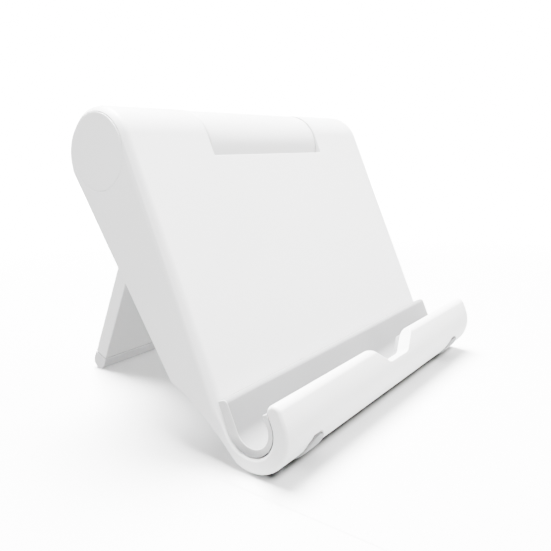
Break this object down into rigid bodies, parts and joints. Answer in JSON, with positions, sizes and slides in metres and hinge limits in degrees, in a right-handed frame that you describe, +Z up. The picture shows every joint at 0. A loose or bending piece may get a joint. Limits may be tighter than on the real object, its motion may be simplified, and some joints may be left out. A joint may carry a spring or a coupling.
{
  "type": "folding tablet stand",
  "caption": "Folding desk stand for a tablet or phone: a leaning plate with a lined J hook, and a leg hinged in the barrel along its top edge.",
  "frame": {"origin": "on the table, in the middle of the open stand's footprint", "axes": "+X along the width and the hinge, +Y from the hook towards the leg, +Z up"},
  "size_m": [0.114, 0.0956, 0.0832],
  "materials": {
    "white_abs": "satin moulded white",
    "grey_silicone": "matt light grey silicone",
    "grey_rubber": "matt grey rubber",
    "steel": "zinc-plated steel",
    "nylon": "natural nylon"
  },
  "bodies": {
    "stand": {"front_shell": "white_abs", "back_cover": "white_abs", "left_end_cap": "white_abs", "right_end_cap": "white_abs", "left_hook_foot": "grey_rubber", "right_hook_foot": "grey_rubber", "channel_liner": "grey_silicone", "hinge_bolt": "steel", "lock_nut": "steel", "bolt_washer": "steel", "nut_washer": "steel", "disc_spring_inner": "steel", "disc_spring_outer": "steel", "cover_screw_lower_left": "steel", "cover_screw_lower_right": "steel", "cover_screw_upper_left": "steel", "cover_screw_upper_right": "steel", "left_friction_disc": "nylon", "right_friction_disc": "nylon"},
    "folding_leg": {"leg": "white_abs", "leg_foot": "grey_rubber", "left_bush": "nylon", "right_bush": "nylon"}
  },
  "joints": [
    {"name": "leg_hinge", "type": "hinge", "parent": "stand", "child": "folding_leg", "pos_m": [0, 0.01067, 0.07194], "axis": [1, 0, 0], "range_deg": [-51.99, 68.01]}
  ]
}
